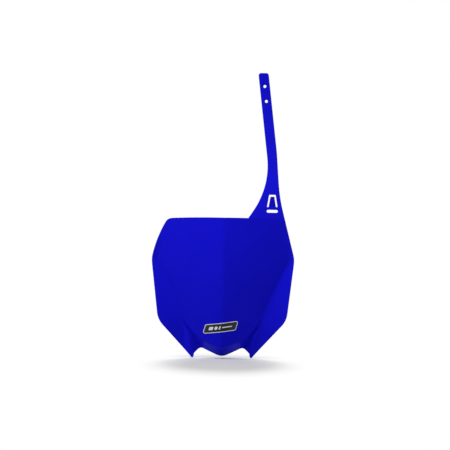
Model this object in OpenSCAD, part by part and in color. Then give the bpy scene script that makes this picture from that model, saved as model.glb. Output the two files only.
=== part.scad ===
// Front number board of an off-road motorcycle: one injection-moulded sheet of plastic.
// The face is seen from -Y, +X is to the viewer's right and +Z is up.
// The origin is the middle of the lower bolt hole, on the top face of its shelf.
// Every opening runs along Y, the direction in which the mould opens.

/* [Face outline] */
// Distance between the two widest corners of the face
widest_w = 231.8; // [220:0.2:240]
// Distance between the two lower (jaw) corners
jaw_w = 208.2; // [200:0.2:214]
// Height from the fang tips' corner line to the jaw corners
jaw_h = 61.9; // [58:0.1:66]
// Height from the jaw corners to the widest corners
cheek_h = 98.5; // [90:0.5:110]
// Height from the widest corners to the crown of the top edge
brow_h = 67; // [64:0.5:76]
// Slope of the edge between jaw and fang, from the horizontal
jaw_slope = 48.5; // [47:0.5:50]
// Lean of the side edge just above the widest corner
side_lean = 14.5; // [11:0.5:16]
// Lean of the side edge just below the shoulder
shoulder_lean = 29; // [25:0.5:32]
// Radius of the bow in the side edge between them
side_r = 190; // [150:5:200]
// Radius of the widest corners
widest_r = 45; // [20:1:60]
// Radius of the jaw corners
jaw_r = 36; // [20:1:40]
// Radius of the free shoulder
shoulder_r = 12; // [5:0.5:14]
// Radius of the gently crowned top edge
crown_r = 1200; // [900:50:2000]

/* [Nose and fangs] */
// Clear width between the inner walls of the two fangs
fang_gap = 92.6; // [90:0.2:96]
// Radius of the fang tips
fang_tip_r = 1.7; // [1:0.1:2]
// Height at which the inner wall of a fang turns towards the notch
hook_h = 5.3; // [4.5:0.1:6.5]
// Radius of that turn
hook_r = 3; // [2:0.5:4]
// Distance from the centre line to the peak of the notch
notch_x = 35; // [34:0.5:36]
// Height of the notch peak before it is rounded
notch_h = 16.9; // [15:0.1:18]
// Radius of the notch peak
notch_r = 7; // [4:0.5:8]
// Height of the nose point before it is rounded
nose_h = 0.9; // [0:0.1:3]
// Radius of the nose point
nose_r = 20; // [10:1:30]

/* [Face relief] */
// Wall thickness, measured square to the sheet
wall = 2.4; // [1.8:0.1:3.2]
// Height of the foremost point of the centre ridge
fore_h = 155; // [140:1:170]
// Bow radius of the centre ridge in side view
ridge_bow_r = 370; // [300:10:600]
// Half-width over which the centre ridge is rounded
ridge_soft = 4; // [2:0.5:8]
// Backward slope beside the ridge at the top edge, in mm per mm
slope_in_top = 0.20; // [0.1:0.01:0.24]
// Backward slope beside the ridge at the fangs
slope_in_low = 0.33; // [0.2:0.01:0.4]
// Backward slope beside the crease at the top edge
slope_out_top = 0.45; // [0.3:0.01:0.5]
// Backward slope beside the crease at the fangs
slope_out_low = 0.80; // [0.6:0.01:0.9]
// Distance of the crease from the centre line at the fang tips
crease_foot = 47; // [46:0.1:48]
// Lean of the crease at its foot, in mm per mm
crease_lean = 0.175; // [0.15:0.005:0.2]
// How much the crease turns outwards as it rises, in mm per mm squared
crease_turn = 0.0015; // [0.0012:0.0001:0.0016]
// Width of the band between the crease and the free edge beside the brow
band_w = 7; // [5:0.1:9]
// Distance below the crown at which that band has run out
band_end = 10; // [10:1:30]
// Height over which it runs out
band_fade = 36; // [24:1:40]
// Forward flare of the side wings, in mm per mm
wing_flare = 0.24; // [0.1:0.01:0.4]
// Forward flare of the band beside the brow
band_flare = 0.06; // [0:0.01:0.15]
// Height up to which the wings keep their flare
flare_full_h = 140; // [120:1:150]
// Height at which the flare has come down to the band's
flare_end_h = 190; // [180:1:210]
// Height of the fold that stiffens each fang
fold_h = 3; // [1:0.1:4]
// Height up to which it keeps that height
fold_full_h = 40; // [30:1:45]
// Height at which it has run out
fold_end_h = 75; // [60:1:90]
// Width of the outer flank of that fold
fold_w = 9; // [7:0.5:12]
// Slope of the inner flank of that fold
fold_in = 0.9; // [0.7:0.05:1.2]
// Height at which the face turns under to the chin, on the centre line
chin_h = 20; // [17:0.5:24]
// How fast that turn rises towards the fangs, in mm per mm squared
chin_rise = 0.0068; // [0.005:0.0002:0.008]
// Backward slope of the chin
chin_slope = 1.3; // [1:0.05:1.5]
// Half-height of the rounded turn into the chin
chin_soft = 6; // [3:0.5:9]
// Softness of the creases beside the wings
crease_soft = 3; // [1:0.5:4]
// Softness of the hollow between the chin and each fang
fang_soft = 12; // [6:1:14]

/* [Strap] */
// Width of the strap
strap_w = 15.8; // [14:0.1:17]
// Height of the strap's end above the crown of the face
strap_h = 233.2; // [220:0.2:250]
// Distance of the strap's end from the centre line of the face
strap_x = 61.4; // [56:0.2:66]
// Lean of the strap towards the centre line, in front view
strap_lean = 6.8; // [5:0.1:8]
// Radius of the corners of the strap's end
strap_end_r = 4; // [2:0.5:5]
// Height above the crown of the corner of the flare on the inner side
flare_h = 50; // [48:0.5:60]
// Slope of the flare on the inner side, from the vertical
flare_slope = 33.8; // [30:0.2:36]
// Radius of the flare on the inner side
flare_r = 120; // [90:5:140]
// Height above the crown at which the outer edge leaves the strap's line
neck_h = 102; // [90:1:130]
// Lean of the outer edge below that height
neck_lean = 4; // [2:0.5:5]
// Height above the crown of the outer edge's lower bend
hip_h = 32; // [28:0.5:40]
// Radius of that bend
hip_r = 250; // [150:10:300]
// Backward lean of the strap where it leaves the face
lean_root = 26; // [20:1:30]
// Backward lean of the strap at its neck
lean_neck = 36; // [28:1:40]
// Backward lean of the strap at its middle
lean_mid = 16; // [8:1:24]
// Backward lean of the strap at its end
lean_end = -6; // [-12:1:6]
// Height above the crown of the steepest part of the neck
steep_h = 62; // [50:1:75]
// Height above the crown at which the strap has its middle lean
mid_h = 125; // [110:1:150]
// Distance from the centre line at which the fold below the strap's root turns down
fold_turn_x = 84; // [76:0.5:90]
// How far that fold has fallen where it meets the outer edge
fold_drop = 9; // [4:0.5:14]
// How far the root is drawn forward again beside that end of the fold
fold_lift = 5; // [2:0.5:8]
// Height over which it is drawn forward
fold_lift_h = 20; // [10:1:24]
// Height above the crown over which the strap's root flattens
flatten_h = 55; // [40:1:80]

/* [Strap fastening] */
// Diameter of the two pin holes
pin_d = 4.8; // [4:0.1:6]
// Distance from the strap's end to the first pin hole
pin_end = 21.8; // [15:0.2:30]
// Distance between the pin holes
pin_pitch = 24.5; // [18:0.1:30]
// Width of the slot through which the strap's end is threaded
slot_w = 18; // [17.2:0.1:20]
// Height of that slot
slot_h = 4.5; // [4.2:0.1:6]
// Height of the slot's middle above the crown
slot_z = 11.4; // [9:0.1:12]
// Distance of the slot's middle from the centre line of the face
slot_x = 78.4; // [76:0.1:79]
// Tilt of the slot in front view
slot_tilt = -1.3; // [-4:0.1:2]
// Height of the tongue's window
window_h = 19.3; // [18:0.1:22]
// Width of the window at its foot
window_w = 17; // [16:0.1:18]
// Width of the window at its top
window_top_w = 10.4; // [9.5:0.1:12]
// Wall left between the slot and the window
bridge = 4.4; // [3.5:0.1:6]
// Gap between the tongue and its window
tongue_gap = 2.8; // [2:0.1:3]
// Thickness of the tongue
tongue_t = 1.8; // [1.4:0.1:2]
// How far the tongue's tip curls forward
tongue_curl = 5; // [3:0.2:7]

/* [Lower mount] */
// Diameter of the lower bolt hole
bolt_d = 6.5; // [5.2:0.1:8.5]
// Height of the shelf's top face above the fang tips' corner line
shelf_z = 52; // [48:0.5:60]
// Width of the shelf
shelf_w = 26; // [22:0.5:34]
// Thickness of the shelf
shelf_t = 3; // [2.4:0.1:4]
// Distance from the front of the ridge to the bolt hole, along Y
bolt_back = 34; // [28:0.5:44]
// Diameter of the round pad about the bolt hole
pad_d = 18; // [16:0.5:22]
// Thickness of that pad, the shelf included
pad_t = 5; // [4:0.1:8]
// Distance between the middles of the two gussets below the shelf
gusset_pitch = 18; // [14:0.5:20]
// Thickness of each gusset
gusset_t = 2.2; // [1.6:0.1:3]
// Height of the gussets along the wall
gusset_h = 20; // [14:0.5:26]
// How far the gussets reach back along the shelf
gusset_reach = 17; // [10:0.5:18]

/* [Fineness] */
// Strips between the ridge and each crease
panel_n = 14; // [10:2:18]
// Strips between each crease and the edge
wing_n = 6; // [4:1:8]
// Rows of the face
face_n = 34; // [24:1:40]
// Rows of the strap
strap_n = 36; // [24:1:44]
// Largest turn of one chord in a rounded corner, in degrees
chord_turn = 9; // [4:1:15]
// Greatest length of one chord in a rounded corner
chord_len = 5; // [3:0.5:12]

/* [Hidden] */
blue = [0.07, 0.06, 0.72];
round_fn = 48;
// Longer than the part is deep
through = 300;
// Step over which slopes are taken
probe = 0.4;
// Most that the wall grows along Y where the sheet is steep
wall_stretch = 1.8;

// Heights above the fang tips' corner line
widest_z = jaw_h + cheek_h;
crown_z = widest_z + brow_h;
strap_end_z = crown_z + strap_h;

// Small vector and curve helpers
function unit(v) = v / norm(v);
function mix(a, b, t) = a + (b - a) * t;
function clamp01(t) = min(1, max(0, t));
function smooth(a, b, t) = let (s = clamp01((t - a) / (b - a))) s * s * (3 - 2 * s);
function soft_max(a, b, r) = let (h = max(r - abs(a - b), 0) / r) max(a, b) + h * h * r / 4;
function soft_min(a, b, r) = -soft_max(-a, -b, r);

// Arc of radius r that rounds the corner b between a and c, from share f0 to f1 of its turn
function corner_arc(a, b, c, r, f0 = 0, f1 = 1) =
    let (
        to_a = unit(a - b),
        to_c = unit(c - b),
        half = acos(to_a * to_c) / 2,
        turn = 180 - 2 * half,
        o = b + unit(to_a + to_c) * r / sin(half),
        p = b + to_a * r / tan(half) - o,
        q = b + to_c * r / tan(half) - o,
        way = sign(cross(p, q)),
        start = atan2(p.y, p.x),
        swept = turn * (f1 - f0),
        n = max(1, ceil(swept / chord_turn), ceil(r * swept * PI / 180 / chord_len))
    )
    [for (k = [0:n]) let (w = start + way * turn * mix(f0, f1, k / n)) o + r * [cos(w), sin(w)]];

// Point at share f of the length of a path
function path_point(path, f) =
    let (
        last = len(path) - 1,
        step = [for (i = [0:last]) i < last ? norm(path[i + 1] - path[i]) : 0],
        run = [for (i = 0, s = 0; i <= last; s = s + step[i], i = i + 1) s],
        s = f * run[last]
    )
    [
        lookup(s, [for (i = [0:last]) [run[i], path[i].x]]),
        lookup(s, [for (i = [0:last]) [run[i], path[i].y]])
    ];

// Corners of the right half of the outline, before rounding, as [x, z]
function top_edge(x) = crown_z - crown_r + sqrt(crown_r * crown_r - x * x);
hook_in = 0.5;
nose = [0, nose_h];
notch = [notch_x, notch_h];
fang_x = fang_gap / 2;
jaw = [jaw_w / 2, jaw_h];
widest = [widest_w / 2, widest_z];
fang_tip = [fang_x, jaw.y - (jaw.x - fang_x) * tan(jaw_slope)];
hook = [fang_x - hook_in, hook_h];
bow = widest + brow_h / 2 * [-tan(side_lean), 1];
shoulder_x = bow.x - (top_edge(jaw.x) - bow.y) * tan(shoulder_lean);
shoulder = [shoulder_x, top_edge(shoulder_x)];

// Corners of the strap, before rounding
strap_tan = tan(strap_lean);
function strap_mid(z) = strap_x + (strap_end_z - z) * strap_tan;
half_w = strap_w / 2 / cos(strap_lean);
end_in = [strap_mid(strap_end_z) - half_w, strap_end_z];
end_out = [strap_mid(strap_end_z) + half_w, strap_end_z];
flare_z = crown_z + flare_h;
flare = [strap_mid(flare_z) - half_w, flare_z];
root_guess = flare.x - flare_h * tan(flare_slope);
root_in = [flare.x - (flare_z - top_edge(root_guess)) * tan(flare_slope), top_edge(root_guess)];
neck_z = crown_z + neck_h;
neck = [strap_mid(neck_z) + half_w, neck_z];
hip = [neck.x + (neck_h - hip_h) * tan(neck_lean), crown_z + hip_h];
root_out_z = top_edge(hip.x) - fold_drop;
root_out = [mix(hip.x, widest.x, (hip.y - root_out_z) / (hip.y - widest.y)), root_out_z];

// The line along which the strap's root folds back from the face: the top edge, turning down
function turn_share(x) = clamp01((x - fold_turn_x) / (root_out.x - fold_turn_x));
function fold_line(x) = top_edge(x) - (top_edge(root_out.x) - root_out.y) * pow(turn_share(x), 2);

// The outline in four rounded stretches
low_path = concat(
    corner_arc([-notch.x, notch.y], nose, notch, nose_r, 0.5, 1),
    corner_arc(nose, notch, hook, notch_r),
    corner_arc(notch, hook, fang_tip, hook_r),
    corner_arc(hook, fang_tip, jaw, fang_tip_r, 0, 0.5)
);
cheek_path = concat(
    corner_arc(hook, fang_tip, jaw, fang_tip_r, 0.5, 1),
    corner_arc(fang_tip, jaw, widest, jaw_r)
);
free_side = concat(
    cheek_path,
    corner_arc(jaw, widest, bow, widest_r),
    corner_arc(widest, bow, shoulder, side_r),
    corner_arc(bow, shoulder, [0, crown_z], shoulder_r, 0, 0.5)
);
strap_side = concat(
    cheek_path,
    corner_arc(jaw, widest, hip, widest_r),
    [root_out]
);
strap_inner = concat(
    [root_in],
    corner_arc(root_in, flare, end_in, flare_r),
    corner_arc(flare, end_in, end_out, strap_end_r)
);
strap_outer = concat(
    [root_out],
    corner_arc(root_out, hip, neck, hip_r),
    corner_arc(hip, neck, end_out, hip_r),
    corner_arc(neck, end_out, end_in, strap_end_r)
);

// Distance of the crease from the centre line at height z
side_table = [for (p = free_side) [p.y, p.x]];
function crease_line(z) = crease_foot + crease_lean * z + crease_turn * z * z;
function crease_x(z) = soft_min(crease_line(z), lookup(z, side_table) - band_w, 4);

// Forward reach of the main panel, without chin and wings
function panel_depth(u, z) =
    let (
        t = clamp01(z / crown_z),
        inner = mix(slope_in_low, slope_in_top, t),
        outer = mix(slope_out_low, slope_out_top, t),
        reach = soft_min(crease_line(z), widest.x, 20)
    )
    -pow(z - fore_h, 2) / (2 * ridge_bow_r)
    - inner * (sqrt(u * u + ridge_soft * ridge_soft) - ridge_soft)
    - (outer - inner) * u * u / (2 * reach);

// How far the chin falls back below its turn
function chin_fall(u, z) =
    let (drop = chin_h + chin_rise * u * u - z)
    drop <= -chin_soft ? 0
        : drop >= chin_soft ? chin_slope * drop
        : chin_slope * pow(drop + chin_soft, 2) / (4 * chin_soft);

// Forward reach of the wings, with the stiffening fold of the fangs
function wing_depth(u, z) =
    let (
        xc = crease_x(z),
        fold = fold_h * (1 - smooth(fold_full_h, fold_end_h, z)),
        flare = mix(wing_flare, band_flare, smooth(flare_full_h, flare_end_h, z)),
        out = u - xc
    )
    mix(
        panel_depth(xc, z) + fold + (out < 0 ? fold_in * out : flare * out - fold * clamp01(out / fold_w)),
        panel_depth(u, z) - crease_soft,
        smooth(crown_z - band_end - band_fade, crown_z - band_end, z)
    );

// Forward reach of the whole face
function face_depth(x, z) =
    let (u = abs(x))
    soft_max(
        panel_depth(u, z) - chin_fall(u, z),
        wing_depth(u, z),
        mix(fang_soft, crease_soft, smooth(chin_h, 3 * chin_h, z))
    );

// Lean of the strap at height h above the top edge, and how far it has gone back by then
lean_table = [[0, lean_root], [steep_h, lean_neck], [mid_h, lean_mid], [strap_h, lean_end]];
lean_step = 3;
back_table = [
    for (h = 0, back = 0; h <= strap_h + 2 * lean_step;
        back = back + lean_step * tan(lookup(h + lean_step / 2, lean_table)), h = h + lean_step)
    [h, back]
];
flat_depth = face_depth(slot_x, top_edge(slot_x));
function strap_depth(x, z) =
    let (
        h = max(0, z - fold_line(x)),
        lift = fold_lift * smooth(0, 1, turn_share(x)),
        foot = face_depth(x, fold_line(x)) + lift * (1 - pow(1 - clamp01(h / fold_lift_h), 2))
    )
    mix(foot, flat_depth, smooth(0, flatten_h, h)) - lookup(h, back_table);

function depth(x, z, on_strap) = on_strap ? strap_depth(x, z) : face_depth(x, z);

// Length along Y that the wall takes at a point, from the slope of the surface there
function draw_wall(x, z, on_strap, t) =
    let (
        gx = (depth(x + probe, z, on_strap) - depth(x - probe, z, on_strap)) / (2 * probe),
        gz = (depth(x, z + probe, on_strap) - depth(x, z, on_strap)) / probe
    )
    t * min(wall_stretch, sqrt(1 + gx * gx + gz * gz));

// Grid of the face: columns run from the nose and the fangs up to the top edge.
// Shares are spaced evenly (gather 0) or closer towards both ends (gather 1)
function shares(n, gather) = [for (i = [0:n]) mix(i / n, 0.5 - 0.5 * cos(180 * i / n), gather)];
panel_share = shares(panel_n, 1);
wing_share = [for (j = [1:wing_n]) pow(j / wing_n, 1.6)];
face_rows = shares(face_n, 0.45);
// Share of the lower edge at which the crease starts
foot_f = 0.97;
foot = path_point(low_path, foot_f);
free_shoulder = corner_arc([0, crown_z], shoulder, bow, shoulder_r, 0, 0.5);
crease_top_x = min(crease_x(shoulder.y), free_shoulder[0].x);
crease_top = [crease_top_x, top_edge(crease_top_x)];
free_top_path = concat([crease_top], free_shoulder);
// Powers with which the ends of the crease, the lower edge and the top edge pull on the grid
crease_pull = 40;
low_pull = 3;
top_pull = 6;

function crease_point(v) =
    let (z = mix(foot.y, crease_top.y, v))
    mix([crease_x(z), z], v < 0.5 ? foot : crease_top, pow(abs(2 * v - 1), crease_pull));

function low_point(t) = path_point(low_path, foot_f * t);
function top_point(t) =
    let (x = t < 0.5 ? 2 * t * root_in.x : mix(root_in.x, crease_top.x, 2 * t - 1))
    [x, top_edge(x)];

function panel_point(t, v) =
    mix(mix([0, low_point(0).y], [0, crown_z], v), crease_point(v), t)
    + pow(1 - v, low_pull) * (low_point(t) - mix(low_point(0), foot, t))
    + v * (top_point(t) - mix([0, crown_z], crease_top, t));

function side_point(v, strapped) = path_point(strapped ? strap_side : free_side, v);
function wing_top(t, strapped) =
    let (x = mix(crease_top.x, root_out.x, t))
    strapped ? [x, fold_line(x)] : path_point(free_top_path, t);
function wing_point(t, v, strapped) =
    let (low = path_point(low_path, mix(foot_f, 1, t)))
    mix(crease_point(v), side_point(v, strapped), t)
    + pow(1 - v, low_pull) * (low - mix(foot, side_point(0, strapped), t))
    + pow(v, top_pull) * (wing_top(t, strapped) - mix(crease_top, side_point(1, strapped), t));

function half_row(v, strapped) = concat(
    [for (t = panel_share) panel_point(t, v)],
    [for (t = wing_share) wing_point(t, v, strapped)]
);
half_n = panel_n + wing_n;
function face_row(v) =
    let (
        left = half_row(v, false),
        right = half_row(v, true)
    )
    concat(
        [for (j = [half_n:-1:1]) [-left[j].x, left[j].y]],
        right
    );

// Grid of the strap: its lowest row is the part of the face's top row right of the root
root_j = half_n + panel_n / 2;
strap_cols = 2 * half_n - root_j;
top_row = face_row(1);
strap_foot = [for (j = [root_j:2 * half_n]) top_row[j]];
strap_rows = shares(strap_n, 0.6);
strap_pull = 12;
function strap_row(v) =
    let (
        a = path_point(strap_inner, v),
        b = path_point(strap_outer, v),
        fade = pow(1 - v, strap_pull)
    )
    [
        for (j = [0:strap_cols])
        let (
            even = j / strap_cols,
            own = (strap_foot[j].x - root_in.x) / (root_out.x - root_in.x),
            lift = strap_foot[j] - mix(strap_foot[0], strap_foot[strap_cols], own)
        )
        mix(a, b, mix(even, own, fade)) + fade * lift
    ];

// Both grids as one list of [x, z, on_strap]
flat_points = concat(
    [for (i = [0:face_n]) for (p = face_row(face_rows[i])) [p.x, p.y, false]],
    [for (i = [1:strap_n]) for (p = strap_row(strap_rows[i])) [p.x, p.y, true]]
);
face_cols = 2 * half_n + 1;
function face_id(i, j) = i * face_cols + j;
function strap_id(i, j) =
    i == 0 ? face_id(face_n, root_j + j) : (face_n + 1) * face_cols + (i - 1) * (strap_cols + 1) + j;

// The two triangles of a grid cell, split along the diagonal that lies nearer to the surface
function cell(a, b, c, d) = [[a, b, c], [a, c, d]];
function mid_error(a, b, middle) =
    abs((depth(a.x, a.y, a.z) + depth(b.x, b.y, b.z)) / 2 - depth(middle.x, middle.y, middle.z));
function best_cell(a, b, c, d) =
    let (
        pa = flat_points[a],
        pb = flat_points[b],
        pc = flat_points[c],
        pd = flat_points[d],
        middle = [(pa.x + pb.x + pc.x + pd.x) / 4, (pa.y + pb.y + pc.y + pd.y) / 4, pb.z]
    )
    mid_error(pa, pc, middle) <= mid_error(pb, pd, middle) ? cell(a, b, c, d) : cell(b, c, d, a);
front_faces = concat(
    [
        for (i = [0:face_n - 1]) for (j = [0:2 * half_n - 1])
        each best_cell(face_id(i, j), face_id(i + 1, j), face_id(i + 1, j + 1), face_id(i, j + 1))
    ],
    [
        for (i = [0:strap_n - 1]) for (j = [0:strap_cols - 1])
        each best_cell(strap_id(i, j), strap_id(i + 1, j), strap_id(i + 1, j + 1), strap_id(i, j + 1))
    ]
);

// The rim, all the way round
rim = concat(
    [for (j = [0:2 * half_n]) face_id(0, j)],
    [for (i = [1:face_n]) face_id(i, 2 * half_n)],
    [for (i = [1:strap_n]) strap_id(i, strap_cols)],
    [for (j = [strap_cols - 1:-1:0]) strap_id(strap_n, j)],
    [for (i = [strap_n - 1:-1:1]) strap_id(i, 0)],
    [for (j = [root_j:-1:0]) face_id(face_n, j)],
    [for (i = [face_n - 1:-1:1]) face_id(i, 0)]
);

// The moulded sheet: face, wings, fangs, chin and strap
module sheet() {
    n = len(flat_points);
    front = [for (p = flat_points) [p.x, -depth(p.x, p.y, p.z), p.y]];
    back = [for (i = [0:n - 1]) let (p = flat_points[i])
        front[i] + [0, draw_wall(p.x, p.y, p.z, wall), 0]];
    m = len(rim);
    rim_faces = [
        for (k = [0:m - 1])
        let (a = rim[k], b = rim[(k + 1) % m])
        each [[a, b, b + n], [a, b + n, a + n]]
    ];
    polyhedron(
        points = concat(front, back),
        faces = concat(
            front_faces,
            [for (f = front_faces) [f[0] + n, f[2] + n, f[1] + n]],
            rim_faces
        ),
        convexity = 8
    );
}

// Places of the slot, the window and the pin holes
slot_mid_z = crown_z + slot_z;
window_z = slot_mid_z + slot_h / 2 + bridge;
pin_spots = [
    for (k = [0, 1])
    let (z = strap_end_z - pin_end - k * pin_pitch * cos(strap_lean))
    [strap_mid(z), z]
];

// Cuts a flat shape, drawn in x and z, through the sheet along Y
module along_draw() {
    translate([0, through / 2, 0])
        rotate([90, 0, 0])
            linear_extrude(height = through)
                children();
}

module slot_shape() {
    translate([slot_x, slot_mid_z])
        rotate(slot_tilt) {
            square([slot_w - slot_h, slot_h], center = true);
            for (s = [-1, 1])
                translate([s * (slot_w - slot_h) / 2, 0])
                    circle(d = slot_h, $fn = round_fn);
        }
}

module window_shape() {
    polygon([
        [slot_x - window_w / 2, window_z],
        [slot_x + window_w / 2, window_z],
        [slot_x + window_top_w / 2, window_z + window_h],
        [slot_x - window_top_w / 2, window_z + window_h]
    ]);
}

// The tongue that stays in the window: joined at its foot, its tip curling forward
tongue_n = 6;
tongue_sink = 2;
module tongue() {
    inset = (wall - tongue_t) / 2;
    height = window_h - tongue_gap;
    rows = [for (i = [0:tongue_n]) -tongue_sink + (height + tongue_sink) * i / tongue_n];
    half_at = function (h) mix(window_w, window_top_w, max(0, h) / window_h) / 2 - tongue_gap;
    spots = [for (h = rows) for (s = [-1, 0, 1]) [slot_x + s * half_at(h), window_z + h, h]];
    front = [
        for (p = spots)
        [p.x, -strap_depth(p.x, p.y) + inset - tongue_curl * pow(max(0, p.z) / height, 2), p.y]
    ];
    back = [
        for (i = [0:len(spots) - 1])
        front[i] + [0, draw_wall(spots[i].x, spots[i].y, true, tongue_t), 0]
    ];
    n = len(spots);
    faces = [
        for (i = [0:tongue_n - 1]) for (j = [0, 1])
        each cell(3 * i + j, 3 * i + j + 3, 3 * i + j + 4, 3 * i + j + 1)
    ];
    edge = concat(
        [0, 1, 2],
        [for (i = [1:tongue_n]) 3 * i + 2],
        [3 * tongue_n + 1],
        [for (i = [tongue_n:-1:1]) 3 * i]
    );
    polyhedron(
        points = concat(front, back),
        faces = concat(
            faces,
            [for (f = faces) [f[0] + n, f[2] + n, f[1] + n]],
            [
                for (k = [0:len(edge) - 1])
                let (a = edge[k], b = edge[(k + 1) % len(edge)])
                each [[a, b, b + n], [a, b + n, a + n]]
            ]
        ),
        convexity = 4
    );
}

// The shelf behind the lower face, its gussets and the pad about the bolt hole
bolt_y = bolt_back - face_depth(0, shelf_z);
function wall_mid(x, z) = -face_depth(x, z) + draw_wall(x, z, false, wall) / 2;
module shelf() {
    steps = 6;
    translate([0, 0, shelf_z - shelf_t])
        linear_extrude(height = shelf_t)
            polygon(concat(
                [
                    for (k = [0:steps])
                    let (x = shelf_w * (k / steps - 0.5))
                    [x, wall_mid(x, shelf_z - shelf_t / 2)]
                ],
                [[pad_d / 2, bolt_y], [-pad_d / 2, bolt_y]]
            ));
    translate([0, bolt_y, shelf_z - pad_t])
        cylinder(d = pad_d, h = pad_t, $fn = round_fn);
    for (s = [-1, 1])
        gusset(s * gusset_pitch / 2);
}

module gusset(x) {
    steps = 5;
    top = shelf_z - shelf_t / 2;
    translate([x - gusset_t / 2, 0, 0])
        rotate([90, 0, 90])
            linear_extrude(height = gusset_t)
                polygon(concat(
                    [
                        for (k = [0:steps])
                        let (z = top - gusset_h * k / steps)
                        [wall_mid(x, z), z]
                    ],
                    [[bolt_y - bolt_back + gusset_reach + wall, top]]
                ));
}

module number_board() {
    color(blue)
        translate([0, -bolt_y, -shelf_z])
            difference() {
                union() {
                    difference() {
                        sheet();
                        along_draw() {
                            slot_shape();
                            window_shape();
                        }
                    }
                    tongue();
                    shelf();
                }
                for (p = pin_spots)
                    translate([p.x, 0, p.y])
                        rotate([-90, 0, 0])
                            cylinder(d = pin_d, h = through, $fn = round_fn);
                translate([0, bolt_y, shelf_z - pad_t - 1])
                    cylinder(d = bolt_d, h = pad_t + 2, $fn = round_fn);
            }
}

number_board();
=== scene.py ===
import math
from bisect import bisect_right

import bmesh
import bpy
from mathutils import Matrix, Vector
from mathutils.geometry import delaunay_2d_cdt


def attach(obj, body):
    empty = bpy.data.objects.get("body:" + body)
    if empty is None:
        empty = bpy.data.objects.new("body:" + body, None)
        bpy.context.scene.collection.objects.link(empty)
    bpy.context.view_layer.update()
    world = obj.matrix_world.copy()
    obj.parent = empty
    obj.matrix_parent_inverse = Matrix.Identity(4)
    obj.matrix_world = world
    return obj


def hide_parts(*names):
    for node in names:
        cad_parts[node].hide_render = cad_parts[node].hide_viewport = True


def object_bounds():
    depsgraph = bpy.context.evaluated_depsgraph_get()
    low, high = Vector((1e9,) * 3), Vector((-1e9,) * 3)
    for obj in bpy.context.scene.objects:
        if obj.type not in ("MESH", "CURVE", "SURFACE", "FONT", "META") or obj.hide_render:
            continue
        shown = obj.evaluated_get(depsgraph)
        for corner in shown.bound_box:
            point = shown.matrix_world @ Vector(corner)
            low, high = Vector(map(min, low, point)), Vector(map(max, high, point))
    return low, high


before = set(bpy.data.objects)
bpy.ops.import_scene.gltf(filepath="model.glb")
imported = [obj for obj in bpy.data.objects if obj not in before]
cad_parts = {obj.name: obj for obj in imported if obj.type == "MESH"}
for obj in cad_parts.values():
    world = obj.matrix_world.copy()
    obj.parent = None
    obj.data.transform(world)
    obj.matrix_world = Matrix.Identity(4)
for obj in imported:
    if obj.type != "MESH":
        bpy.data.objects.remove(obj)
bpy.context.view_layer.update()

# The board itself: one sheet of blue polypropylene, injection moulded in one shot with its strap,
# its tongue and the rear shelf for its bolt. Its outline comes first, in millimetres, as [x, z]
# seen from the front, with z up from about the level of the fang tips.
MM = 0.001

wall = 2.4
widest = Vector((231.7 / 2, 160.4))
jaw = Vector((208.2 / 2, 61.6))
crown_z = 229
crown_r = 1200
brow_h = crown_z - widest.y
fang_x = 92.6 / 2
jaw_slope = math.radians(48.3)
side_lean = math.radians(14.5)
shoulder_lean = math.radians(29)
nose_r = 20
notch_r = 7
hook_r = 3
fang_tip_r = 1.7
jaw_r = 36
widest_r = 45
bow_r = 190
shoulder_r = 12


def flat(x, z):
    return Vector((x, z))


def mix(a, b, t):
    return a + (b - a) * t


def clamp01(t):
    return min(1.0, max(0.0, t))


def smooth(a, b, t):
    s = clamp01((t - a) / (b - a))
    return s * s * (3 - 2 * s)


def soft_max(a, b, r):
    h = max(r - abs(a - b), 0) / r
    return max(a, b) + h * h * r / 4


def soft_min(a, b, r):
    return -soft_max(-a, -b, r)


def corner_arc(a, b, c, radius, start=0.0, end=1.0, chord=1.2):
    """Points round the corner b between a and c, from one share of its turn to another."""
    to_a = (a - b).normalized()
    to_c = (c - b).normalized()
    half = to_a.angle(to_c) / 2
    centre = b + (to_a + to_c).normalized() * radius / math.sin(half)
    p = b + to_a * radius / math.tan(half) - centre
    q = b + to_c * radius / math.tan(half) - centre
    way = math.copysign(1, p.x * q.y - p.y * q.x)
    first = math.atan2(p.y, p.x)
    turn = math.pi - 2 * half
    count = max(4, math.ceil(radius * turn * (end - start) / chord))
    angles = [first + way * turn * mix(start, end, k / count) for k in range(count + 1)]
    return [centre + radius * flat(math.cos(w), math.sin(w)) for w in angles]


def table(pairs):
    """A function that reads between the pairs of a list in rising order."""
    keys = [k for k, _ in pairs]
    values = [v for _, v in pairs]

    def read(key):
        i = min(max(bisect_right(keys, key), 1), len(keys) - 1)
        share = clamp01((key - keys[i - 1]) / max(keys[i] - keys[i - 1], 1e-9))
        return mix(values[i - 1], values[i], share)

    return read


def along(path):
    """The point at a share of a path's length."""
    run = [0.0]
    for a, b in zip(path, path[1:]):
        run.append(run[-1] + (b - a).length)
    read = table(list(zip(run, path)))
    return lambda share: read(share * run[-1])


def top_edge(x):
    return crown_z - crown_r + math.sqrt(crown_r * crown_r - x * x)


nose = flat(0, 0.2)
notch = flat(35, 16)
hook = flat(fang_x - 0.5, 5.3)
fang_tip = flat(fang_x, jaw.y - (jaw.x - fang_x) * math.tan(jaw_slope))
bow = widest + brow_h / 2 * flat(-math.tan(side_lean), 1)
shoulder_x = bow.x - (top_edge(jaw.x) - bow.y) * math.tan(shoulder_lean)
shoulder = flat(shoulder_x, top_edge(shoulder_x))

# The strap, which leans inwards, and its root, which flares between the neck and the hip.
strap_w = 16.6
strap_end_x = 61.4
strap_end_z = crown_z + 231.6
strap_end_r = 4
strap_tilt = math.radians(6.8)
half_w = strap_w / 2 / math.cos(strap_tilt)
flare_h = 50
flare_r = 120
flare_tan = math.tan(math.radians(34.4))
neck_h = 102
neck_r = 250
hip_h = 32
hip_r = 250
hip_tan = math.tan(math.radians(4))
fold_drop = 9
fold_turn_x = 84


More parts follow.
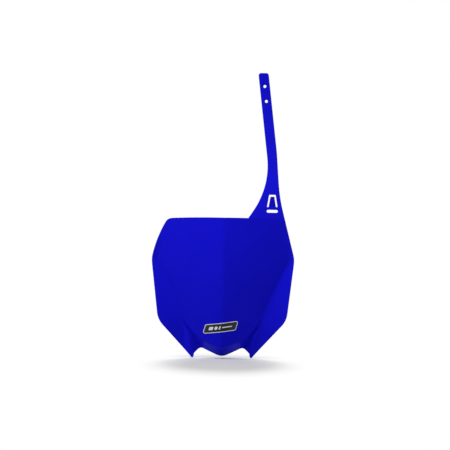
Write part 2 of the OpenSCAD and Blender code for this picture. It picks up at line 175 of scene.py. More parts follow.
def strap_mid(z):
    return strap_end_x + (strap_end_z - z) * math.tan(strap_tilt)


end_in = flat(strap_mid(strap_end_z) - half_w, strap_end_z)
end_out = flat(strap_mid(strap_end_z) + half_w, strap_end_z)
flare = flat(strap_mid(crown_z + flare_h) - half_w, crown_z + flare_h)
root_in_z = top_edge(flare.x - flare_h * flare_tan)
root_in = flat(flare.x - (flare.y - root_in_z) * flare_tan, root_in_z)
neck = flat(strap_mid(crown_z + neck_h) + half_w, crown_z + neck_h)
hip = flat(neck.x + (neck_h - hip_h) * hip_tan, crown_z + hip_h)
root_out_z = top_edge(hip.x) - fold_drop
root_out = flat(mix(hip.x, widest.x, (hip.y - root_out_z) / (hip.y - widest.y)), root_out_z)

# The outline in parts, each from corner to corner: the low edge, the cheek, and the two sides.
crown = flat(0, crown_z)
low_path = (
    corner_arc(flat(-notch.x, notch.y), nose, notch, nose_r, start=0.5)
    + corner_arc(nose, notch, hook, notch_r)
    + corner_arc(notch, hook, fang_tip, hook_r)
    + corner_arc(hook, fang_tip, jaw, fang_tip_r, end=0.5, chord=0.4)
)
cheek_path = (
    corner_arc(hook, fang_tip, jaw, fang_tip_r, start=0.5, chord=0.4)
    + corner_arc(fang_tip, jaw, widest, jaw_r)
)
free_shoulder = corner_arc(crown, shoulder, bow, shoulder_r, end=0.5)
free_side = (
    cheek_path
    + corner_arc(jaw, widest, bow, widest_r)
    + corner_arc(widest, bow, shoulder, bow_r)
    + corner_arc(bow, shoulder, crown, shoulder_r, end=0.5)
)
strap_side = cheek_path + corner_arc(jaw, widest, hip, widest_r) + [root_out]
strap_inner = (
    [root_in]
    + corner_arc(root_in, flare, end_in, flare_r)
    + corner_arc(flare, end_in, end_out, strap_end_r, chord=0.5)
)
strap_outer = (
    [root_out]
    + corner_arc(root_out, hip, neck, hip_r)
    + corner_arc(hip, neck, end_out, neck_r)
    + corner_arc(neck, end_out, end_in, strap_end_r, chord=0.5)
)

# The relief of the face: how far each point reaches towards the viewer. The ridge bows forward,
# the panels fall back from it to the creases, the wings flare forward again, the fangs carry a
# stiffening fold and the chin tucks under. The strap folds back from the top edge and leans away.
# A pair of slopes or widths is for low and for high on the board, and a pair of heights is where
# one form passes over into the next.
fore_h = 155
ridge_bow_r = 370
ridge_soft = 4
ridge_slopes = (0.42, 0.24)
crease_slopes = (0.80, 0.45)
crease_foot_x = 44.8
crease_splay = 0.24
crease_turn = 0.00105
crease_soft = 3
band_w = 7
band_soft = 4
reach_soft = 20
wing_slopes = (0.32, 0.06)
wing_turn = (140, 190)
wing_end = (crown_z - 46, crown_z - 10)
fold_h = 6.5
fold_end = (28, 58)
fold_in = 0.65
fold_fall = 8
flank_ws = (18, 6)
flank_h = 40
fang_soft = 7
fang_end = (20, 60)
chin_h = 20
chin_rise = 0.0105
chin_soft = 3
chin_slope = 1.15
ledge_h = 1.3
ledge_reach = 5

side_at = table(sorted((p.y, p.x) for p in free_side))


def crease_line(z):
    return crease_foot_x + crease_splay * z + crease_turn * z * z


def crease_x(z):
    """The crease, which runs beside the rim where it comes close to it."""
    return soft_min(crease_line(z), side_at(z) - band_w, band_soft)


def panel_depth(u, z):
    """The panel: it falls back from the ridge ever more steeply towards the crease."""
    t = clamp01(z / crown_z)
    inner = mix(*ridge_slopes, t)
    outer = mix(*crease_slopes, t)
    reach = soft_min(crease_line(z), widest.x, reach_soft)
    bow_back = (z - fore_h) ** 2 / (2 * ridge_bow_r)
    beside = inner * (math.hypot(u, ridge_soft) - ridge_soft)
    return -bow_back - beside - (outer - inner) * u * u / (2 * reach)


def chin_fall(u, z):
    """How far the chin tucks back below its ledge."""
    drop = chin_h + chin_rise * u * u - z
    ledge = ledge_h * math.exp(-(drop / ledge_reach) ** 2)
    if drop <= -chin_soft:
        return -ledge
    if drop >= chin_soft:
        return chin_slope * drop - ledge
    return chin_slope * (drop + chin_soft) ** 2 / (4 * chin_soft) - ledge


def wing_depth(u, z):
    """The wing outside the crease, with the fang's fold low on it. It fades out at the top."""
    xc = crease_x(z)
    out = u - xc
    fold = 1 - smooth(*fold_end, z)
    flank = smooth(0, mix(*flank_ws, clamp01(z / flank_h)), out)
    flare_out = mix(*wing_slopes, smooth(*wing_turn, z)) * out - fold_fall * fold * flank
    wing = panel_depth(xc, z) + fold_h * fold + (fold_in * out if out < 0 else flare_out)
    return mix(wing, panel_depth(u, z) - crease_soft, smooth(*wing_end, z))


def face_depth(x, z):
    u = abs(x)
    soft = mix(fang_soft, crease_soft, smooth(*fang_end, z))
    return soft_max(panel_depth(u, z) - chin_fall(u, z), wing_depth(u, z), soft)


# The strap leans back by these degrees at these heights above the fold at its root. Their sum in
# steps of a millimetre says how far back each height lies.
lean_at = table([(0, 26), (62, 36), (125, 14.5), (231.6, -6)])
lean_top = 240
back_steps = [(0.0, 0.0)]
while back_steps[-1][0] < lean_top:
    h, gone = back_steps[-1]
    back_steps.append((h + 1, gone + math.tan(math.radians(lean_at(h + 0.5)))))
strap_back = table(back_steps)

slot_mid = flat(78.4, crown_z + 9.8)
root_h = 55
root_lift = 5
root_lift_h = 20
strap_flat_depth = face_depth(slot_mid.x, top_edge(slot_mid.x))


def turn_share(x):
    return clamp01((x - fold_turn_x) / (root_out.x - fold_turn_x))


def fold_line(x):
    """The height at which the strap folds back from the face."""
    return top_edge(x) - (top_edge(root_out.x) - root_out.y) * turn_share(x) ** 2


def strap_depth(x, z):
    root_z = fold_line(x)
    h = max(0.0, z - root_z)
    lift = root_lift * smooth(0, 1, turn_share(x)) * (1 - (1 - clamp01(h / root_lift_h)) ** 2)
    foot = face_depth(x, root_z) + lift
    return mix(foot, strap_flat_depth, smooth(0, root_h, h)) - strap_back(h)


# The tongue stands in a window above the slot, joined at its foot, and its tip curls forward.
slot_w = 18
slot_h = 4.5
slot_tilt = math.radians(-1.3)
bridge_h = 4.4
window_z = slot_mid.y + slot_h / 2 + bridge_h
window_h = 19.3
window_w = 17
window_top_w = 10.4
tongue_gap = 2.5
tongue_x = slot_mid.x
tongue_curl = 11
tongue_bend = 1.25
tongue_h = window_h - tongue_gap
tongue_foot = 0.12
tongue_thin = 0.3
slope_step = 0.4
steepest = 1.8


def tongue_share(x, z):
    """How far up the tongue a point lies, or 0 where it isn't on the tongue."""
    h = z - window_z
    reach = mix(window_w, window_top_w, clamp01(h / window_h)) / 2 - tongue_gap / 2
    on_tongue = 0 < h < window_h - tongue_gap / 2 and abs(x - tongue_x) < reach
    return clamp01(h / tongue_h) if on_tongue else 0.0


def front_y(x, z, on_strap):
    """The Y of the sheet's front. Y grows away from the viewer."""
    if not on_strap:
        return -face_depth(x, z)
    up = tongue_share(x, z)
    thinner = tongue_thin * smooth(0, tongue_foot, up)
    return -strap_depth(x, z) - tongue_curl * up ** tongue_bend + thinner


def wall_y(x, z, on_strap):
    """How much of the Y axis the wall takes at a point."""
    depth = strap_depth if on_strap else face_depth
    gx = (depth(x + slope_step, z) - depth(x - slope_step, z)) / (2 * slope_step)
    gz = (depth(x, z + slope_step) - depth(x, z)) / slope_step
    up = tongue_share(x, z) if on_strap else 0
    thinner = 2 * tongue_thin * smooth(0, tongue_foot, up)
    return (wall - thinner) * min(steepest, math.sqrt(1 + gx * gx + gz * gz))


# The face as a grid that follows the nose, the creases and the edges. Its rows and columns gather
# towards their ends, and the curves of its four edges fade out towards its middle.
panel_n = 44
wing_n = 16
face_n = 120
half_n = panel_n + wing_n
panel_gather = 0.7
face_gather = 0.45
wing_gather = 1.6
crease_hold = 40
low_fade = 3
top_fade = 6
foot_share = 0.97
edge_r = 0.5


def shares(count, gather):
    """Shares from 0 to 1, even ones mixed with ones that gather towards both ends."""
    gathered = [0.5 - 0.5 * math.cos(math.pi * i / count) for i in range(count + 1)]
    return [mix(i / count, gathered[i], gather) for i in range(count + 1)]


low_at = along(low_path)
foot = low_at(foot_share)
free_side_share = along(free_side)
strap_side_share = along(strap_side)
crease_top_x = min(crease_x(shoulder.y), free_shoulder[0].x)
crease_top = flat(crease_top_x, top_edge(crease_top_x))
free_top_share = along([crease_top] + free_shoulder)


def crease_point(v):
    z = mix(foot.y, crease_top.y, v)
    end = foot if v < 0.5 else crease_top
    return mix(flat(crease_x(z), z), end, abs(2 * v - 1) ** crease_hold)


def panel_point(t, v):
    x = 2 * t * root_in.x if t < 0.5 else mix(root_in.x, crease_top.x, 2 * t - 1)
    low = low_at(foot_share * t) - mix(low_at(0), foot, t)
    top = flat(x, top_edge(x)) - mix(crown, crease_top, t)
    between = mix(mix(low_at(0), crown, v), crease_point(v), t)
    return between + (1 - v) ** low_fade * low + v * top


def wing_point(t, v, strapped):
    side = strap_side_share if strapped else free_side_share
    x = mix(crease_top.x, root_out.x, t)
    top = flat(x, fold_line(x)) if strapped else free_top_share(t)
    low = low_at(mix(foot_share, 1, t)) - mix(foot, side(0), t)
    top = top - mix(crease_top, side(1), t)
    between = mix(crease_point(v), side(v), t)
    return between + (1 - v) ** low_fade * low + v ** top_fade * top


def half_row(v, strapped):
    panel = [panel_point(t, v) for t in shares(panel_n, panel_gather)]
    across = [(j / wing_n) ** wing_gather for j in range(1, wing_n + 1)]
    return panel + [wing_point(t, v, strapped) for t in across]


grid = []
for v in shares(face_n, face_gather):
    left = [flat(-p.x, p.y) for p in half_row(v, False)]
    grid.append(left[:0:-1] + half_row(v, True))
columns = 2 * half_n + 1
root_j = half_n + panel_n // 2


def edge_normals(loop):
    """For each point of a loop that keeps the plastic on its left, the way into the plastic."""
    inward = []
    for k, p in enumerate(loop):
        before = (p - loop[k - 1]).normalized()
        after = (loop[(k + 1) % len(loop)] - p).normalized()
        across = flat(-before.y - after.y, before.x + after.x).normalized()
        lean = max(0.6, across.dot(flat(-before.y, before.x)))
        inward.append(across / lean)
    return inward


def spaced(path, step, ends=True):
    """Points a step apart along a path."""
    length = sum((b - a).length for a, b in zip(path, path[1:]))
    count = max(1, round(length / step))
    at = along(path)
    first = 0 if ends else 1
    return [at(k / count) for k in range(first, count + first)]


# The outline, once round with the plastic on its left: fangs, strap side, strap, free side.
rim_step = 1.5
strap_up = spaced(strap_outer, rim_step, ends=False)
strap_down = spaced(strap_inner[::-1], rim_step)
bottom_cells = [(0, j) for j in range(columns)]
right_cells = [(i, columns - 1) for i in range(1, face_n + 1)]
top_cells = [(face_n, j) for j in range(root_j, -1, -1)]
left_cells = [(i, 0) for i in range(face_n - 1, 0, -1)]
before_strap = bottom_cells + right_cells
after_strap = top_cells + left_cells
outline = (
    [grid[i][j] for i, j in before_strap]
    + strap_up
    + strap_down
    + [grid[i][j] for i, j in after_strap]
)
outline_in = edge_normals(outline)
outline_cell = before_strap + [None] * (len(strap_up) + len(strap_down)) + after_strap

# Front points of the sheet: the grid, drawn in from the outline by the radius of its rounded edge.
drawn_in = [row[:] for row in grid]
shift_of = {cell: outline_in[k] * edge_r for k, cell in enumerate(outline_cell) if cell}
soft_cells = 4
for i in range(face_n + 1):
    for j in range(columns):
        gaps = [(i, (0, j)), (j, (i, 0)), (columns - 1 - j, (i, columns - 1))]
        if j <= root_j:
            gaps.append((face_n - i, (face_n, j)))
        gap, nearest = min(gaps)
        if gap < soft_cells and nearest in shift_of:
            drawn_in[i][j] = grid[i][j] + shift_of[nearest] * (1 - gap / soft_cells)

sheet = [(p.x, p.y, False) for row in drawn_in for p in row]
faces = []
for i in range(face_n):
    for j in range(columns - 1):
        a = i * columns + j
        faces.append((a, a + 1, a + columns + 1, a + columns))


def inside(p, loop):
    """Whether a point lies inside a closed loop."""
    hit = False
    for a, b in zip(loop, loop[1:] + loop[:1]):
        if (a.y > p.y) != (b.y > p.y) and p.x < a.x + (p.y - a.y) * (b.x - a.x) / (b.y - a.y):
            hit = not hit
    return hit


def fill(rim, holes, step, clear, lines=()):
    """Points a step apart and triangles over an outline with holes and lines, in the flat.

    The loops' own points come first, and the others stay clear of them by a distance.
    """
    loops = [rim] + holes + list(lines)
    points = [p for loop in loops for p in loop]
    edges = []
    first = 0
    for loop in loops:
        edges += [(first + k, first + (k + 1) % len(loop)) for k in range(len(loop))]
        first += len(loop)
    cells = {}
    for k, p in enumerate(points):
        cells.setdefault((int(p.x // clear), int(p.y // clear)), []).append(p)

    def free(p):
        cx, cy = int(p.x // clear), int(p.y // clear)
        around = [(cx + dx, cy + dy) for dx in (-1, 0, 1) for dy in (-1, 0, 1)]
        return all((p - q).length > clear for cell in around for q in cells.get(cell, []))

    low = flat(min(p.x for p in rim), min(p.y for p in rim))
    high = flat(max(p.x for p in rim), max(p.y for p in rim))
    rise = step * math.sqrt(3) / 2
    for row in range(1, math.ceil((high.y - low.y) / rise)):
        for col in range(math.ceil((high.x - low.x) / step)):
            p = flat(low.x + (col + 0.5 * (row % 2)) * step, low.y + row * rise)
            if free(p) and inside(p, rim) and not any(inside(p, hole) for hole in holes):
                points.append(p)
    result = delaunay_2d_cdt(points, edges, [], 0, 1e-6)
    triangles = [tuple(result[3][k][0] for k in tri) for tri in result[2]]

    # What lies left of the rim or of a hole's edge is plastic, and so is all that it leads to.
    border = set(edges[:sum(len(loop) for loop in [rim] + holes)])
    owner = {(tri[k - 1], tri[k]): tri for tri in triangles for k in range(3)}
    reached = {owner[edge] for edge in border}
    waiting = list(reached)
    while waiting:
        tri = waiting.pop()
        for k in range(3):
            beside = owner.get((tri[k], tri[k - 1]))
            if beside and beside not in reached and (tri[k - 1], tri[k]) not in border:
                reached.add(beside)
                waiting.append(beside)
    return points, [tri for tri in triangles if tri in reached]


# The holes of the strap: two pin holes, the slot and the window round the tongue.
pin_d = 4.8
pin_in = 21.8
pin_pitch = 24.5
window_r = 0.6


def circle(centre, radius, count=40, start=0.0, turn=-2 * math.pi):
    angles = [start + turn * k / count for k in range(count)]
    return [centre + radius * flat(math.cos(w), math.sin(w)) for w in angles]


def slot_loop():
    reach = (slot_w - slot_h) / 2
    ends = []
    for side, start in ((1, math.pi / 2), (-1, -math.pi / 2)):
        ends += circle(flat(side * reach, 0), slot_h / 2, count=16, start=start, turn=-math.pi)
        ends += [flat(side * reach * (1 - k / 4), -side * slot_h / 2) for k in range(8)]
    turn = Matrix.Rotation(slot_tilt, 2)
    return [slot_mid + turn @ p for p in ends]


def window_loop():
    def half_at(h):
        return mix(window_w, window_top_w, h / window_h) / 2

    low = window_z
    high = window_z + window_h
    tip = window_z + tongue_h
    x = slot_mid.x
    corners = [
        flat(x - half_at(0), low),
        flat(x - half_at(window_h), high),
        flat(x + half_at(window_h), high),
        flat(x + half_at(0), low),
        flat(tongue_x + half_at(0) - tongue_gap, low),
        flat(tongue_x + half_at(tongue_h) - tongue_gap, tip),
        flat(tongue_x - half_at(tongue_h) + tongue_gap, tip),
        flat(tongue_x - half_at(0) + tongue_gap, low),
    ]
    loop = []
    for k, corner in enumerate(corners):
        after = corners[(k + 1) % len(corners)]
        loop += corner_arc(corners[k - 1], corner, after, window_r, chord=0.3)
    return spaced(loop + loop[:1], 0.6)


pin_holes = []
for k in range(2):
    z = strap_end_z - pin_in - k * pin_pitch * math.cos(strap_tilt)
    pin_holes.append(circle(flat(strap_mid(z), z), pin_d / 2))
holes = pin_holes + [slot_loop(), window_loop()]

# The strap's sheet shares the fold line's points with the face's grid.
fold_cells = [(face_n, j) for j in range(root_j, columns)]
first_strap = len(before_strap)
strap_count = len(strap_up) + len(strap_down)
strap_ks = range(first_strap, first_strap + strap_count)
strap_rim = [outline[k] + outline_in[k] * edge_r for k in strap_ks]
hole_in = [edge_normals(hole) for hole in holes]
hole_rims = [[p + n * edge_r for p, n in zip(hole, ways)] for hole, ways in zip(holes, hole_in)]
fold_points = [drawn_in[i][j] for i, j in fold_cells]
strap_points, strap_faces = fill(fold_points + strap_rim, hole_rims, step=1.9, clear=1.2)

strap_ids = [i * columns + j for i, j in fold_cells]
for p in strap_points[len(fold_cells):]:
    strap_ids.append(len(sheet))
    sheet.append((p.x, p.y, True))
faces += [tuple(strap_ids[k] for k in tri) for tri in strap_faces]

sheet_n = len(sheet)
points = [(x, front_y(x, z, on_strap), z) for x, z, on_strap in sheet]
points += [(x, front_y(x, z, strapped) + wall_y(x, z, strapped), z) for x, z, strapped in sheet]
faces += [tuple(k + sheet_n for k in reversed(face)) for face in faces]


def round_edge(loop, inward, front_ids, on_strap, steps=4):
    """Joins the front and the back sheet round a loop, with both edges rounded."""
    rings = [front_ids]
    for k in list(range(1, steps + 1)) + list(range(-steps, 0)):
        angle = math.pi / 2 * abs(k) / steps
        ring = []
        for p, way, strapped in zip(loop, inward, on_strap):
            q = p + way * edge_r * (1 - math.sin(angle))
            drop = edge_r * (1 - math.cos(angle))
            y = front_y(q.x, q.y, strapped)
            y = y + drop if k > 0 else y + wall_y(q.x, q.y, strapped) - drop
            ring.append(len(points))
            points.append((q.x, y, q.y))
        rings.append(ring)
    rings.append([k + sheet_n for k in front_ids])
    count = len(loop)
    for a, b in zip(rings, rings[1:]):
        for k in range(count):
            faces.append((a[k], b[k], b[(k + 1) % count], a[(k + 1) % count]))


next_id = len(fold_cells)
strap_rim_ids = strap_ids[next_id:next_id + strap_count]
next_id += strap_count
rim_ids = [i * columns + j for i, j in before_strap] + strap_rim_ids
rim_ids += [i * columns + j for i, j in after_strap]
round_edge(outline, outline_in, rim_ids, [cell is None for cell in outline_cell])
for hole, ways in zip(holes, hole_in):
    round_edge(hole, ways, strap_ids[next_id:next_id + len(hole)], [True] * len(hole))
    next_id += len(hole)


# The shelf behind the lower face that takes the board's one bolt, with its pad and two gussets,
# moulded in the same shot as the face.
shelf_z = 52
shelf_t = 3
shelf_w = 26
shelf_edge_r = 0.3
pad_d = 18
pad_t = 5
pad_inset = 0.2
bolt_d = 6.5
bolt_back = 34
cut_l = 12
bolt_y = bolt_back - face_depth(0, shelf_z)
gusset_t = 2.2
gusset_h = 20
gusset_reach = 17
gusset_back = -face_depth(0, shelf_z) + gusset_reach + wall
gusset_x = 9


def board_object(name, corners, polygons):
    """A mesh object from points in the outline's millimetres. The bolt hole is at its origin."""
    mesh = bpy.data.meshes.new(name)
    places = [Vector((x, y - bolt_y, z - shelf_z)) * MM for x, y, z in corners]
    mesh.from_pydata(places, [], polygons)
    piece = bpy.data.objects.new(name, mesh)
    bpy.context.scene.collection.objects.link(piece)
    return piece


def prism(name, base, move):
    """A solid with the corners of base on one side and the same corners moved on the other."""
    count = len(base)
    far = [tuple(a + b for a, b in zip(p, move)) for p in base]
    sides = [(k, (k + 1) % count, count + (k + 1) % count, count + k) for k in range(count)]
    ends = [tuple(range(count - 1, -1, -1)), tuple(range(count, 2 * count))]
    return board_object(name, base + far, sides + ends)


def wall_mid(x, z):
    return -face_depth(x, z) + wall_y(x, z, False) / 2


def keep_result(piece):
    """Applies a piece's modifiers to its mesh."""
    graph = bpy.context.evaluated_depsgraph_get()
    mesh = bpy.data.meshes.new_from_object(piece.evaluated_get(graph))
    piece.modifiers.clear()
    piece.data = mesh


def combine(piece, other, operation):
    """Joins another solid to a piece, or cuts it out of the piece."""
    step = piece.modifiers.new(operation, "BOOLEAN")
    step.operation = operation
    step.solver = "EXACT"
    step.object = other
    keep_result(piece)
    bpy.data.objects.remove(other)


def outward(piece):
    """Turns a piece's faces outwards, after points that coincide are made one."""
    same = 0.002 * MM
    mesh = bmesh.new()
    mesh.from_mesh(piece.data)
    bmesh.ops.remove_doubles(mesh, verts=mesh.verts, dist=same)
    bmesh.ops.dissolve_degenerate(mesh, edges=mesh.edges, dist=same)
    bmesh.ops.recalc_face_normals(mesh, faces=mesh.faces)
    mesh.to_mesh(piece.data)
    mesh.free()


pad = flat(0, bolt_y)
along_wall = [flat(shelf_w * (k / 12 - 0.5), 0) for k in range(13)]
plan = [(p.x, wall_mid(p.x, shelf_z - shelf_t / 2)) for p in along_wall]
plan += [(side * (pad_d / 2 - pad_inset), bolt_y) for side in (1, -1)]
shelf = prism("shelf", [(x, y, shelf_z - shelf_t) for x, y in plan], (0, 0, shelf_t))
pad_ring = circle(pad, pad_d / 2, count=48)
pad_solid = prism("pad", [(p.x, p.y, shelf_z - pad_t) for p in pad_ring], (0, 0, pad_t))
combine(shelf, pad_solid, "UNION")
for side in (-1, 1):
    low = shelf_z - shelf_t / 2
    x = side * gusset_x - gusset_t / 2
    rows = [low - gusset_h * k / 8 for k in range(9)]
    profile = [(x, wall_mid(side * gusset_x, z), z) for z in rows] + [(x, gusset_back, low)]
    combine(shelf, prism("gusset", profile, (gusset_t, 0, 0)), "UNION")
bolt_ring = circle(pad, bolt_d / 2, count=64)
cut_z = shelf_z - 9
bolt_hole = prism("bolt_hole", [(p.x, p.y, cut_z) for p in bolt_ring], (0, 0, cut_l))
combine(shelf, bolt_hole, "DIFFERENCE")
outward(shelf)
rounding = shelf.modifiers.new("rounding", "BEVEL")
rounding.width = shelf_edge_r * MM
rounding.segments = 2
rounding.limit_method = "ANGLE"
rounding.angle_limit = math.radians(40)
rounding.use_clamp_overlap = False
keep_result(shelf)

board = board_object("board", points, faces)
for piece in (board, shelf):
    outward(piece)
combine(board, shelf, "UNION")
outward(board)
sharp_angle = math.radians(38)
board.data.shade_smooth()
board.data.set_sharp_from_angle(angle=sharp_angle)
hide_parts("number_board")
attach(board, "root")


def node(tree, kind, at=(0, 0), **values):
    """A shader node with its settings and the plain values of its inputs."""
    made = tree.nodes.new(kind)
    made.location = at
    for key, value in values.items():
        if key in made.inputs:
            made.inputs[key].default_value = value
        else:
            setattr(made, key, value)
    return made


def moulded_grain():
    """The skin of moulded plastic or of film: fine grain and slow waves, their sizes in mm."""
    group = bpy.data.node_groups.new("moulded_grain", "ShaderNodeTree")
    sockets = group.interface
    for name, size in (("Grain Size", 0.5), ("Wave Size", 30)):
        socket = sockets.new_socket(name, in_out="INPUT", socket_type="NodeSocketFloat")
        socket.default_value = size
    for name in ("Grain", "Waves"):
        sockets.new_socket(name, in_out="OUTPUT", socket_type="NodeSocketFloat")
    start = group.nodes.new("NodeGroupInput")
    end = group.nodes.new("NodeGroupOutput")
    start.location = (-900, 0)
    end.location = (500, 0)
    place = node(group, "ShaderNodeTexCoord", (-900, -250))
    for k, (name, detail) in enumerate((("Grain Size", 3.0), ("Wave Size", 2.0))):
        density = node(group, "ShaderNodeMath", (-650, -200 * k), operation="DIVIDE")
        density.inputs[0].default_value = 1 / MM
        group.links.new(start.outputs[name], density.inputs[1])
        noise = node(group, "ShaderNodeTexNoise", (-400, -200 * k), Detail=detail, Roughness=0.5)
        group.links.new(place.outputs["Object"], noise.inputs["Vector"])
        group.links.new(density.outputs[0], noise.inputs["Scale"])
        group.links.new(noise.outputs["Fac"], end.inputs[k])
    return group


grain = moulded_grain()


def satin_plastic(name, tones, wave_size, grain_size, grain_strength, roughness):
    """A plastic with a satin skin: its tone drifts between two, and grain breaks up its gloss."""
    material = bpy.data.materials.new(name)
    material.use_nodes = True
    tree = material.node_tree
    shader = tree.nodes["Principled BSDF"]
    skin = node(tree, "ShaderNodeGroup", (-900, 0), node_tree=grain)
    skin.inputs["Grain Size"].default_value = grain_size
    skin.inputs["Wave Size"].default_value = wave_size
    tone = node(tree, "ShaderNodeMix", (-400, 200), data_type="RGBA")
    tone.inputs["A"].default_value = tones[0] + (1,)
    tone.inputs["B"].default_value = tones[1] + (1,)
    satin = node(tree, "ShaderNodeMapRange", (-400, -50))
    satin.inputs["To Min"].default_value = roughness[0]
    satin.inputs["To Max"].default_value = roughness[1]
    bump = node(tree, "ShaderNodeBump", (-400, -350), Strength=grain_strength, Distance=0.0001)
    tree.links.new(skin.outputs["Waves"], tone.inputs["Factor"])
    tree.links.new(tone.outputs["Result"], shader.inputs["Base Color"])
    tree.links.new(skin.outputs["Grain"], satin.inputs["Value"])
    tree.links.new(satin.outputs["Result"], shader.inputs["Roughness"])
    tree.links.new(skin.outputs["Grain"], bump.inputs["Height"])
    tree.links.new(bump.outputs["Normal"], shader.inputs["Normal"])
    return material


# Blue polypropylene, dyed right through. Its gloss is faint and takes the blue of the plastic.
blues = [(0.0058, 0.0055, 0.545), (0.0078, 0.0070, 0.605)]
polypropylene = satin_plastic(
    "blue_polypropylene",
    blues,
    wave_size=45,
    grain_size=0.6,
    grain_strength=0.12,
    roughness=(0.40, 0.52),
)
gloss = polypropylene.node_tree.nodes["Principled BSDF"].inputs
gloss["IOR"].default_value = 1.3
gloss["Specular IOR Level"].default_value = 0.06
gloss["Specular Tint"].default_value = (0.15, 0.15, 1.0, 1)
board.data.materials.clear()
board.data.materials.append(polypropylene)

# The label low on the face: a self-adhesive vinyl film with a satin skin, cut as a slanted flag
# with a white rim, printed black with plain bars, and pressed on so that it bends over the ridge.
label_mid = flat(-2.5, 50.5)
label_rise = math.radians(7.5)
label_w = 54
label_h = 15
label_slant = math.radians(24)
label_rim = 1.1
film = 0.12
film_gap = 0.03


def label_corner(s, t):
    """A place on the label: s along it and t up it, in millimetres from its middle."""
    return label_mid + Matrix.Rotation(label_rise, 2) @ flat(s + t * math.tan(label_slant), t)


def flag(s0, s1, t0, t1, radius):
    """A slanted shape with rounded corners, once round."""
    corners = [label_corner(s, t) for s, t in ((s0, t0), (s1, t0), (s1, t1), (s0, t1))]
    loop = []
    for k, corner in enumerate(corners):
        loop += corner_arc(corners[k - 1], corner, corners[(k + 1) % 4], radius, chord=0.5)
    return spaced(loop + loop[:1], 1.0)


half_l = label_w / 2
half_t = label_h / 2
field_l = half_l - label_rim
field_t = half_t - label_rim
label_edge = flag(-half_l, half_l, -half_t, half_t, 3)
field_edge = flag(-field_l, field_l, -field_t, field_t, 2)
bars = [
    flag(-19, -12, -2.6, 2.6, 0.7),
    flag(-9.5, -5, -2.6, 2.6, 0.7),
    flag(-2.5, 0, -2.6, 2.6, 0.6),
    flag(2.5, 19, -0.9, 0.9, 0.6),
]

shape, cells = fill(label_edge, [], step=1.2, clear=0.6, lines=[field_edge] + bars)
label_n = len(shape)
label_points = [(p.x, -face_depth(p.x, p.y) - film_gap - film, p.y) for p in shape]
label_points += [(x, y + film, z) for x, y, z in label_points]
label_faces = cells + [tuple(k + label_n for k in reversed(cell)) for cell in cells]
for k in range(len(label_edge)):
    after = (k + 1) % len(label_edge)
    label_faces.append((k, k + label_n, after + label_n, after))
label = board_object("board_label", label_points, label_faces)


def vinyl(name, color, roughness):
    """Printed vinyl film under a satin laminate."""
    tones = [tuple(0.9 * c for c in color), color]
    skin = {"wave_size": 12, "grain_size": 0.4, "grain_strength": 0.05}
    material = satin_plastic(name, tones, roughness=roughness, **skin)
    shader = material.node_tree.nodes["Principled BSDF"]
    shader.inputs["Specular IOR Level"].default_value = 0.3
    return material


label.data.materials.append(vinyl("label_white", (0.80, 0.80, 0.84), (0.28, 0.40)))
label.data.materials.append(vinyl("label_black", (0.012, 0.012, 0.013), (0.25, 0.36)))
for cell, polygon in zip(cells, label.data.polygons):
    middle = sum((shape[k] for k in cell), flat(0, 0)) / 3
    in_bar = any(inside(middle, bar) for bar in bars)
    polygon.material_index = 1 if inside(middle, field_edge) and not in_bar else 0
outward(label)
label.data.shade_smooth()
label.data.set_sharp_from_angle(angle=sharp_angle)
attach(label, "root")

# The floor: a plain pale sheet just below the fang tips, which takes the soft cast shadow. In an
# oval set and sized where that shadow falls, the floor keeps its grey paper tone, a painted shade
# that deepens the cast shadow; beyond the oval it fades into the white of the background.
floor_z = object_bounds()[0][2] - 0.0006
floor_half = 6.0
floor_mesh = bpy.data.meshes.new("floor")
floor_corners = [(-1, -1), (1, -1), (1, 1), (-1, 1)]
floor_points = [(x * floor_half, y * floor_half, floor_z) for x, y in floor_corners]
floor_mesh.from_pydata(floor_points, [], [(0, 1, 2, 3)])
floor = bpy.data.objects.new("floor", floor_mesh)
bpy.context.scene.collection.objects.link(floor)


def sees_background(tree):
    """1 for the rays that see the white background: camera rays and those off gloss or glass."""
    ray = node(tree, "ShaderNodeLightPath", (-900, 500))
    off_gloss = node(tree, "ShaderNodeMath", (-700, 500), operation="MAXIMUM")
    off_glass = node(tree, "ShaderNodeMath", (-500, 500), operation="MAXIMUM")
    tree.links.new(ray.outputs["Is Camera Ray"], off_gloss.inputs[0])
    tree.links.new(ray.outputs["Is Glossy Ray"], off_gloss.inputs[1])
    tree.links.new(off_gloss.outputs[0], off_glass.inputs[0])
    tree.links.new(ray.outputs["Is Transmission Ray"], off_glass.inputs[1])
    return off_glass.outputs[0]


# Where the painted shade lies: an oval centred in front of the board, squeezed across.
shadow_place = (0, 0.14, 0)
shadow_squeeze = (1.9, 1, 1)
shadow_r = 0.10
white_r = 0.28
paper = bpy.data.materials.new("floor_paper")
paper.use_nodes = True
tree = paper.node_tree
shader = tree.nodes["Principled BSDF"]
# The paper's grey tone, which shows only inside the oval: painted shade round the cast shadow.
shader.inputs["Base Color"].default_value = (0.66, 0.66, 0.65, 1)
shader.inputs["Roughness"].default_value = 0.9
shader.inputs["Specular IOR Level"].default_value = 0.0
place = node(tree, "ShaderNodeNewGeometry", (-1200, -300))
oval = node(tree, "ShaderNodeMapping", (-1000, -300), Location=shadow_place, Scale=shadow_squeeze)
away = node(tree, "ShaderNodeVectorMath", (-800, -300), operation="LENGTH")
fade = node(tree, "ShaderNodeMapRange", (-600, -300), interpolation_type="SMOOTHSTEP")
fade.inputs["From Min"].default_value = shadow_r
fade.inputs["From Max"].default_value = white_r
seen = node(tree, "ShaderNodeMath", (-400, -300), operation="MULTIPLY")
white = node(tree, "ShaderNodeEmission", (0, -300), Color=(1, 1, 1, 1), Strength=1.0)
choice = node(tree, "ShaderNodeMixShader", (300, 0))
tree.links.new(place.outputs["Position"], oval.inputs["Vector"])
tree.links.new(oval.outputs["Vector"], away.inputs[0])
tree.links.new(away.outputs["Value"], fade.inputs["Value"])
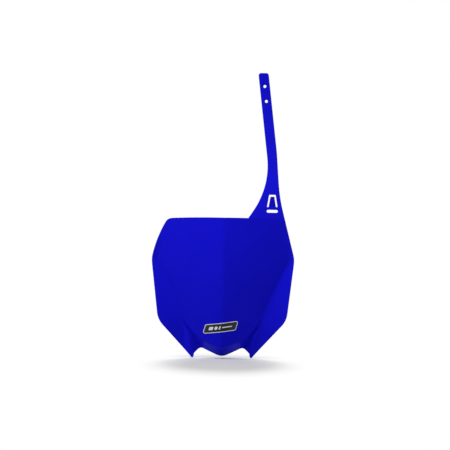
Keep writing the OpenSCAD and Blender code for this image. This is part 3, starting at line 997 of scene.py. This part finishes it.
tree.links.new(fade.outputs["Result"], seen.inputs[0])
tree.links.new(sees_background(tree), seen.inputs[1])
tree.links.new(seen.outputs[0], choice.inputs["Fac"])
tree.links.new(shader.outputs[0], choice.inputs[1])
tree.links.new(white.outputs[0], choice.inputs[2])
tree.links.new(choice.outputs[0], tree.nodes["Material Output"].inputs["Surface"])
floor.data.materials.append(paper)

# The studio: an even pale room, a large soft box high in front on the left, and one high behind,
# which draws the shadow forward.
lit_middle = Vector((0, 0, 0.12))
world = bpy.data.worlds.new("studio")
bpy.context.scene.world = world
world.use_nodes = True
tree = world.node_tree
room = tree.nodes["Background"]
room.inputs["Color"].default_value = (1, 1, 1, 1)
room.inputs["Strength"].default_value = 0.2
backdrop = node(tree, "ShaderNodeBackground", (0, -150), Color=(1, 1, 1, 1), Strength=1.0)
choice = node(tree, "ShaderNodeMixShader", (250, 100))
tree.links.new(sees_background(tree), choice.inputs["Fac"])
tree.links.new(room.outputs[0], choice.inputs[1])
tree.links.new(backdrop.outputs[0], choice.inputs[2])
tree.links.new(choice.outputs[0], tree.nodes["World Output"].inputs["Surface"])


def soft_box(name, azimuth, elevation, distance, size, level):
    """A square lamp aimed at the board. At level 1 it lights a facing surface as it is written."""
    data = bpy.data.lights.new(name, "AREA")
    data.size = size
    data.energy = level * math.pi ** 2 * distance ** 2
    lamp = bpy.data.objects.new(name, data)
    bpy.context.scene.collection.objects.link(lamp)
    a = math.radians(azimuth)
    e = math.radians(elevation)
    way = Vector((math.sin(a) * math.cos(e), -math.cos(a) * math.cos(e), math.sin(e)))
    lamp.location = lit_middle + way * distance
    lamp.rotation_euler = way.to_track_quat("Z", "Y").to_euler()


soft_box("key", azimuth=-33, elevation=58, distance=2.6, size=1.6, level=0.95)
soft_box("behind", azimuth=180, elevation=42, distance=2.6, size=1.1, level=0.9)

# The camera: a long lens straight in front of the face, three degrees above level and rolled by
# just under one degree. At the board it sees view_mm across.
view_mm = 728.6
camera_distance = 8.0
camera_rise = math.radians(3)
camera_roll = math.radians(0.85)
aim = Vector((2.4, 0, 163)) * MM
camera_data = bpy.data.cameras.new("camera")
camera_data.sensor_width = 36
camera_data.lens = camera_data.sensor_width * camera_distance / (view_mm * MM)
camera_data.clip_end = 50
camera = bpy.data.objects.new("camera", camera_data)
bpy.context.scene.collection.objects.link(camera)
towards = Vector((0, -math.cos(camera_rise), math.sin(camera_rise)))
camera.location = aim + towards * camera_distance
level = towards.to_track_quat("Z", "Y")
roll = Matrix.Rotation(camera_roll, 3, "Z").to_quaternion()
camera.rotation_euler = (level @ roll).to_euler()
bpy.context.scene.camera = camera
bpy.context.scene.view_settings.view_transform = "Standard"
